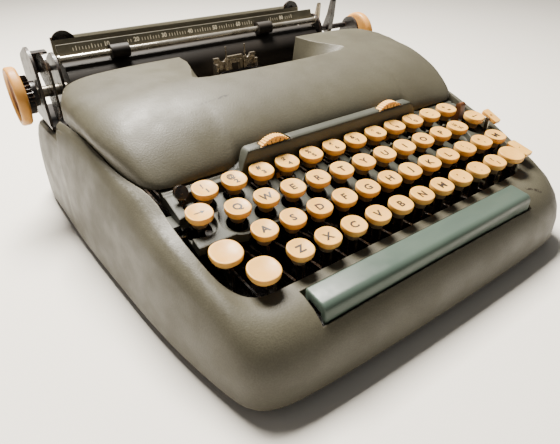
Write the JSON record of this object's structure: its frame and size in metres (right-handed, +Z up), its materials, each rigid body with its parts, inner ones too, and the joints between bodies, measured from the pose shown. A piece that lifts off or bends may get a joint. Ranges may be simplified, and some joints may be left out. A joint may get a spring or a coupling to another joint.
{
  "type": "electric typewriter",
  "caption": "Portable electric typewriter with a painted rounded casing, lifting ribbon cover, sprung keys and a sliding carriage with platen, paper bail and return lever.",
  "frame": {"origin": "on the table under the middle of the machine, at the bottom centre of its bounding box", "axes": "+X to the typist's right along the carriage, +Y to the rear, +Z up"},
  "size_m": [0.336, 0.3207, 0.134],
  "materials": {
    "casing_paint": "fine hammered satin",
    "panel_paint": "satin",
    "key_plastic": "smooth semi-gloss",
    "knob_plastic": "smooth semi-gloss",
    "bar_plastic": "smooth semi-gloss",
    "black_steel": "satin",
    "bright_steel": "brushed",
    "nickel": "bright",
    "black_rubber": "matte",
    "brown_plastic": "satin",
    "motor_paint": "satin",
    "ribbon_cloth": "inked cotton",
    "scale_enamel": "satin",
    "socket_plastic": "satin"
  },
  "bodies": {
    "chassis": {"lower_casing": "casing_paint", "base_pan": "black_steel", "rubber_feet": "black_rubber", "case_screws": "bright_steel", "keyboard_panel": "panel_paint", "side_frames": "bright_steel", "key_fulcrum_rod": "bright_steel", "key_comb": "black_steel", "carriage_rail": "bright_steel", "type_guide": "nickel", "motor": "motor_paint", "drive_belt": "black_rubber", "power_inlet": "socket_plastic", "spool_posts": "bright_steel", "ink_ribbon": "ribbon_cloth"},
    "ribbon_cover": {"ribbon_cover": "casing_paint"},
    "key_row_1": {"keycaps_row_1": "key_plastic", "key_levers_row_1": "black_steel"},
    "key_row_2": {"keycaps_row_2": "key_plastic", "key_levers_row_2": "black_steel"},
    "key_row_3": {"keycaps_row_3": "key_plastic", "key_levers_row_3": "black_steel"},
    "key_row_4": {"keycaps_row_4": "key_plastic", "key_levers_row_4": "black_steel"},
    "space_bar": {"space_bar": "bar_plastic", "space_bar_arms": "black_steel"},
    "type_basket": {"type_segment": "black_steel", "type_bars": "bright_steel"},
    "carriage": {"carriage_frame": "black_steel", "end_plate_left": "black_steel", "end_plate_right": "black_steel", "paper_table": "casing_paint"},
    "platen": {"platen": "black_rubber", "platen_shaft": "bright_steel", "knob_left": "knob_plastic", "knob_right": "knob_plastic", "line_space_ratchet": "black_steel"},
    "paper_bail": {"paper_bail": "nickel", "bail_scale": "scale_enamel"},
    "bail_rollers": {"bail_rollers": "black_rubber"},
    "tab_key": {"tab_key": "key_plastic"},
    "backspace_key": {"backspace_key": "key_plastic"},
    "margin_release_key": {"margin_release_key": "key_plastic"},
    "shift_lock_key": {"shift_lock_key": "key_plastic"},
    "left_shift_key": {"left_shift_key": "key_plastic"},
    "right_shift_key": {"right_shift_key": "key_plastic"},
    "tab_set_key": {"tab_set_key": "key_plastic"},
    "tab_clear_key": {"tab_clear_key": "key_plastic"},
    "thumbwheel_left": {"thumbwheel_left": "key_plastic"},
    "thumbwheel_right": {"thumbwheel_right": "key_plastic"},
    "ribbon_selector": {"ribbon_selector": "black_steel"},
    "power_switch": {"power_switch": "brown_plastic"},
    "motor_pulley": {"motor_pulley": "bright_steel"},
    "power_roll": {"power_roll": "black_rubber"},
    "return_lever": {"return_lever": "black_steel"},
    "paper_release_lever": {"paper_release_lever": "nickel"},
    "carriage_release_lever": {"carriage_release_lever": "black_steel"},
    "ribbon_spool_left": {"ribbon_spool_left": "black_steel"},
    "ribbon_spool_right": {"ribbon_spool_right": "black_steel"},
    "ribbon_vibrator": {"ribbon_vibrator": "nickel"}
  },
  "joints": [
    {"name": "ribbon_cover_hinge", "type": "hinge", "parent": "chassis", "child": "ribbon_cover", "pos_m": [0, 0.066, 0.1], "axis": [-1, 0, 0], "range_deg": [0, 60]},
    {"name": "key_row_1_press", "type": "hinge", "parent": "chassis", "child": "key_row_1", "pos_m": [0, 0.078, 0.028], "axis": [1, 0, 0], "range_deg": [0, 1.3], "stiffness_Nm_per_rad": 6, "springref_deg": -5.73},
    {"name": "key_row_2_press", "type": "hinge", "parent": "chassis", "child": "key_row_2", "pos_m": [0, 0.078, 0.028], "axis": [1, 0, 0], "range_deg": [0, 1.3], "stiffness_Nm_per_rad": 6, "springref_deg": -5.73},
    {"name": "key_row_3_press", "type": "hinge", "parent": "chassis", "child": "key_row_3", "pos_m": [0, 0.078, 0.028], "axis": [1, 0, 0], "range_deg": [0, 1.3], "stiffness_Nm_per_rad": 6, "springref_deg": -5.73},
    {"name": "key_row_4_press", "type": "hinge", "parent": "chassis", "child": "key_row_4", "pos_m": [0, 0.078, 0.028], "axis": [1, 0, 0], "range_deg": [0, 1.3], "stiffness_Nm_per_rad": 6, "springref_deg": -5.73},
    {"name": "space_bar_press", "type": "hinge", "parent": "chassis", "child": "space_bar", "pos_m": [0, 0.078, 0.028], "axis": [1, 0, 0], "range_deg": [0, 1.3], "stiffness_Nm_per_rad": 4, "springref_deg": -5.73},
    {"name": "tab_key_press", "type": "hinge", "parent": "chassis", "child": "tab_key", "pos_m": [0, 0.078, 0.028], "axis": [1, 0, 0], "range_deg": [0, 1.3], "stiffness_Nm_per_rad": 2, "springref_deg": -5.73},
    {"name": "backspace_key_press", "type": "hinge", "parent": "chassis", "child": "backspace_key", "pos_m": [0, 0.078, 0.028], "axis": [1, 0, 0], "range_deg": [0, 1.3], "stiffness_Nm_per_rad": 2, "springref_deg": -5.73},
    {"name": "margin_release_key_press", "type": "hinge", "parent": "chassis", "child": "margin_release_key", "pos_m": [0, 0.078, 0.028], "axis": [1, 0, 0], "range_deg": [0, 1.3], "stiffness_Nm_per_rad": 2, "springref_deg": -5.73},
    {"name": "shift_lock_key_press", "type": "hinge", "parent": "chassis", "child": "shift_lock_key", "pos_m": [0, 0.078, 0.028], "axis": [1, 0, 0], "range_deg": [0, 1.3], "stiffness_Nm_per_rad": 2, "springref_deg": -5.73},
    {"name": "left_shift_key_press", "type": "hinge", "parent": "chassis", "child": "left_shift_key", "pos_m": [0, 0.078, 0.028], "axis": [1, 0, 0], "range_deg": [0, 1.3], "stiffness_Nm_per_rad": 2, "springref_deg": -5.73},
    {"name": "right_shift_key_press", "type": "hinge", "parent": "chassis", "child": "right_shift_key", "pos_m": [0, 0.078, 0.028], "axis": [1, 0, 0], "range_deg": [0, 1.3], "stiffness_Nm_per_rad": 2, "springref_deg": -5.73},
    {"name": "tab_set_key_press", "type": "hinge", "parent": "chassis", "child": "tab_set_key", "pos_m": [0, 0.078, 0.028], "axis": [1, 0, 0], "range_deg": [0, 0.7], "stiffness_Nm_per_rad": 2, "springref_deg": -5.73},
    {"name": "tab_clear_key_press", "type": "hinge", "parent": "chassis", "child": "tab_clear_key", "pos_m": [0, 0.078, 0.028], "axis": [1, 0, 0], "range_deg": [0, 0.7], "stiffness_Nm_per_rad": 2, "springref_deg": -5.73},
    {"name": "type_basket_shift", "type": "slide", "parent": "chassis", "child": "type_basket", "axis": [0, 0, -1], "range_m": [0, 0.006], "stiffness_N_per_m": 200, "springref_m": -0.02},
    {"name": "thumbwheel_left_turn", "type": "hinge", "parent": "chassis", "child": "thumbwheel_left", "pos_m": [-0.0505, -0.0466, 0.0795], "axis": [0, 1, 0], "range_deg": [-60, 60]},
    {"name": "thumbwheel_right_turn", "type": "hinge", "parent": "chassis", "child": "thumbwheel_right", "pos_m": [0.0505, -0.0466, 0.0795], "axis": [0, 1, 0], "range_deg": [-60, 60]},
    {"name": "ribbon_selector_tilt", "type": "hinge", "parent": "chassis", "child": "ribbon_selector", "pos_m": [-0.119, -0.055, 0.052], "axis": [1, 0, 0], "range_deg": [-8, 5]},
    {"name": "power_switch_tilt", "type": "hinge", "parent": "chassis", "child": "power_switch", "pos_m": [0.116, -0.061, 0.062], "axis": [1, 0, 0], "range_deg": [-6, 6]},
    {"name": "power_roll_turn", "type": "hinge", "parent": "chassis", "child": "power_roll", "pos_m": [0, 0.023, 0.018], "axis": [1, 0, 0], "continuous": true},
    {"name": "motor_pulley_turn", "type": "hinge", "parent": "chassis", "child": "motor_pulley", "pos_m": [0, 0.112, 0.036], "axis": [1, 0, 0], "continuous": true},
    {"name": "carriage_slide", "type": "slide", "parent": "chassis", "child": "carriage", "axis": [1, 0, 0], "range_m": [-0.105, 0.105]},
    {"name": "platen_turn", "type": "hinge", "parent": "carriage", "child": "platen", "pos_m": [0, 0.108, 0.098], "axis": [1, 0, 0], "continuous": true},
    {"name": "paper_bail_lift", "type": "hinge", "parent": "carriage", "child": "paper_bail", "pos_m": [0, 0.122, 0.112], "axis": [-1, 0, 0], "range_deg": [0, 25]},
    {"name": "bail_rollers_turn", "type": "hinge", "parent": "paper_bail", "child": "bail_rollers", "pos_m": [0, 0.102, 0.1198], "axis": [1, 0, 0], "continuous": true},
    {"name": "return_lever_pull", "type": "hinge", "parent": "carriage", "child": "return_lever", "pos_m": [-0.1445, 0.122, 0.116], "axis": [0, 0, 1], "range_deg": [0, 10], "stiffness_Nm_per_rad": 1, "springref_deg": -5.73},
    {"name": "paper_release_pull", "type": "hinge", "parent": "carriage", "child": "paper_release_lever", "pos_m": [0.113, 0.116, 0.107], "axis": [1, 0, 0], "range_deg": [0, 20]},
    {"name": "carriage_release_pull", "type": "hinge", "parent": "carriage", "child": "carriage_release_lever", "pos_m": [0.13, 0.116, 0.107], "axis": [1, 0, 0], "range_deg": [0, 12], "stiffness_Nm_per_rad": 1, "springref_deg": -5.73},
    {"name": "ribbon_spool_left_turn", "type": "hinge", "parent": "chassis", "child": "ribbon_spool_left", "pos_m": [-0.092, 0.015, 0.085], "axis": [0, 0, 1], "continuous": true},
    {"name": "ribbon_spool_right_turn", "type": "hinge", "parent": "chassis", "child": "ribbon_spool_right", "pos_m": [0.092, 0.015, 0.085], "axis": [0, 0, 1], "continuous": true},
    {"name": "ribbon_vibrator_lift", "type": "slide", "parent": "chassis", "child": "ribbon_vibrator", "axis": [0, 0, 1], "range_m": [0, 0.008]}
  ],
  "couplings": [
    {"joint": "right_shift_key_press", "follows": "left_shift_key_press", "ratio": 1},
    {"joint": "type_basket_shift", "follows": "left_shift_key_press", "m_per_rad": 0.26},
    {"joint": "motor_pulley_turn", "follows": "power_roll_turn", "ratio": 1.12},
    {"joint": "ribbon_spool_right_turn", "follows": "ribbon_spool_left_turn", "ratio": 1}
  ]
}
